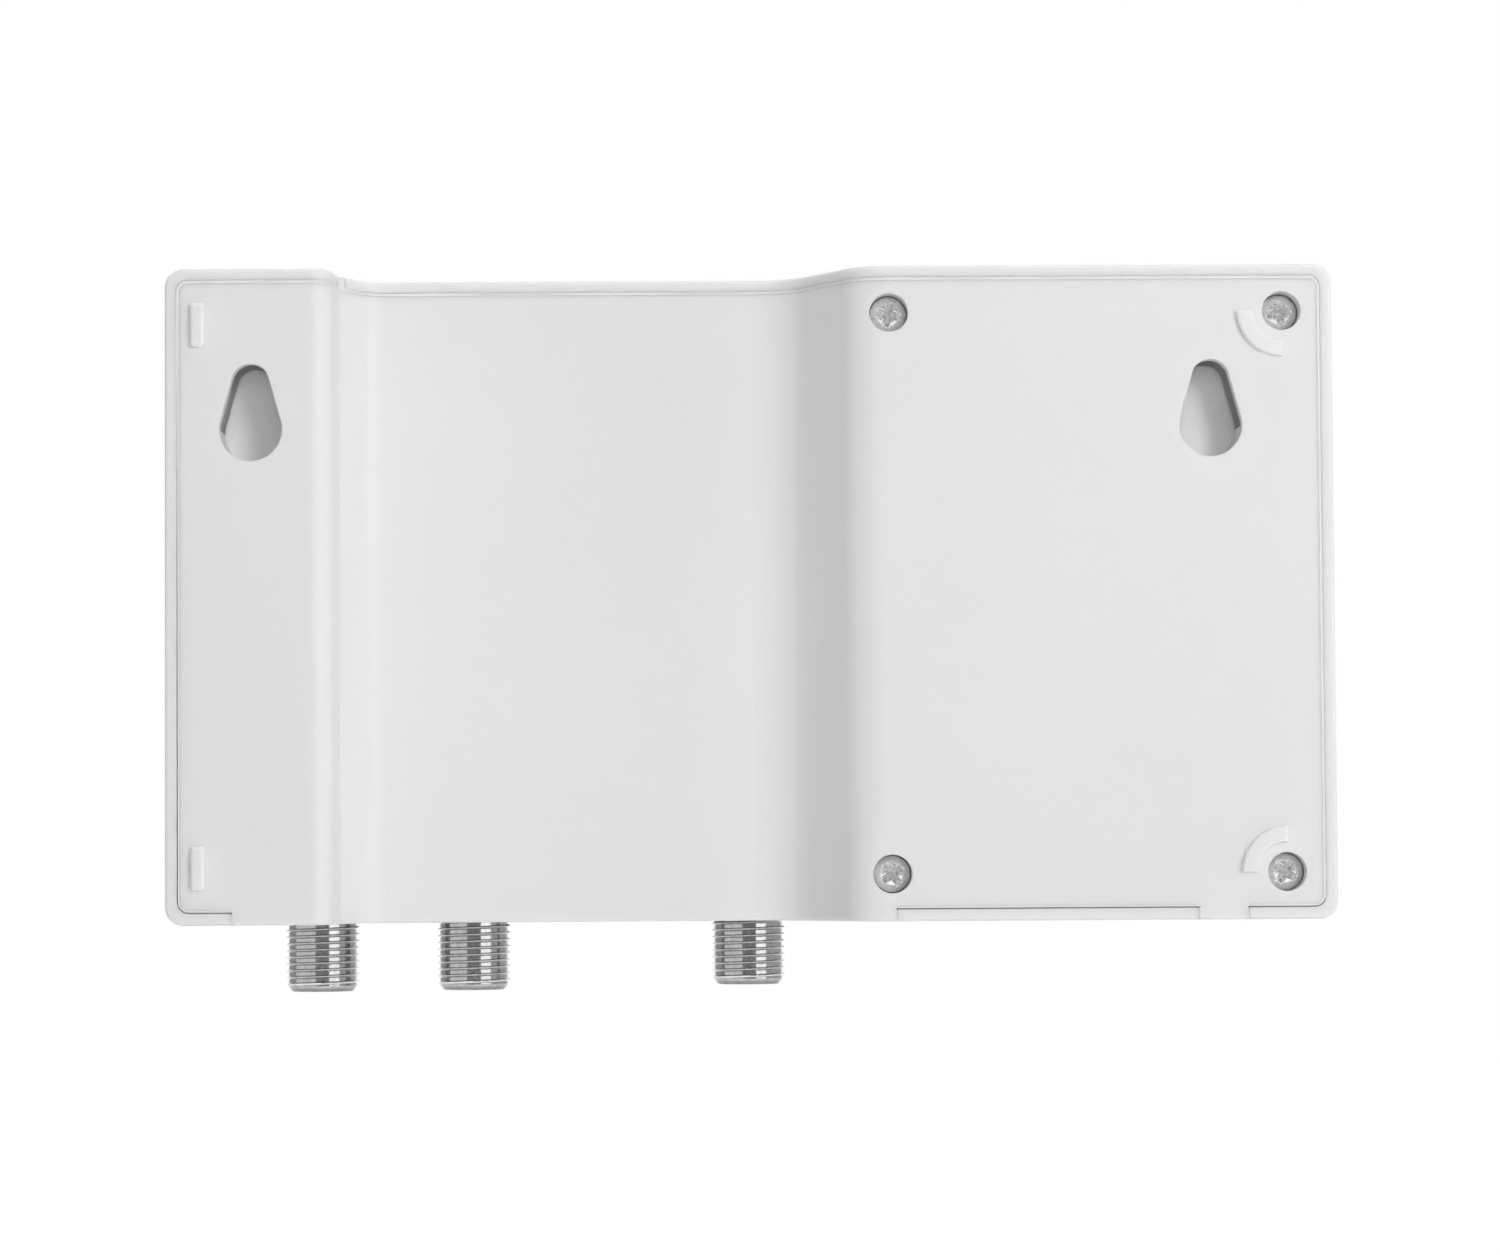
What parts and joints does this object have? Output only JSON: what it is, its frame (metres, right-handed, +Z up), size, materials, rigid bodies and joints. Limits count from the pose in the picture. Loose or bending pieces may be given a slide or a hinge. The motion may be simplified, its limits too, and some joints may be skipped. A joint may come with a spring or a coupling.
{
  "type": "television signal amplifier",
  "caption": "Wall-hung white plastic television signal amplifier with a wave-shaped back, keyholes and threaded coaxial connectors.",
  "frame": {"origin": "on the wall's plane, midway between the narrow ends of the two keyholes", "axes": "+X to the right as seen from behind, +Y from the wall towards the front of the case, +Z up"},
  "size_m": [0.146, 0.0375, 0.0909],
  "materials": {
    "case_plastic": "satin moulded",
    "screw_steel": "bright zinc plated",
    "board_laminate": "green solder mask",
    "tinplate": "tin plated sheet",
    "package_plastic": "moulded epoxy",
    "ferrite": "sintered",
    "copper_wire": "enamelled copper",
    "chip_ceramic": "fired ceramic",
    "can_aluminium": "drawn can",
    "inlet_plastic": "moulded",
    "contact_plating": "tin plated",
    "connector_plating": "bright nickel plated",
    "insulator_plastic": "moulded",
    "led_plastic": "clear lens",
    "clear_plastic": "clear moulded"
  },
  "bodies": {
    "root": {"front_shell": "case_plastic", "rear_cover": "case_plastic", "case_screws": "screw_steel", "board_screws": "screw_steel", "main_board": "board_laminate", "shield_frame": "tinplate", "shield_lid": "tinplate", "amplifier_chips": "package_plastic", "splitter_cores": "ferrite", "filter_coils": "copper_wire", "chip_parts": "chip_ceramic", "electrolytic_capacitors": "can_aluminium", "power_inductor": "copper_wire", "voltage_regulator": "package_plastic", "rectifier_diode": "package_plastic", "power_inlet_body": "inlet_plastic", "power_inlet_pin": "contact_plating", "power_inlet_contacts": "contact_plating", "power_led": "led_plastic", "led_light_pipe": "clear_plastic", "left_connector_barrel": "connector_plating", "left_connector_insulator": "insulator_plastic", "left_connector_contact": "contact_plating", "middle_connector_barrel": "connector_plating", "middle_connector_insulator": "insulator_plastic", "middle_connector_contact": "contact_plating", "right_connector_barrel": "connector_plating", "right_connector_insulator": "insulator_plastic", "right_connector_contact": "contact_plating"}
  },
  "joints": []
}
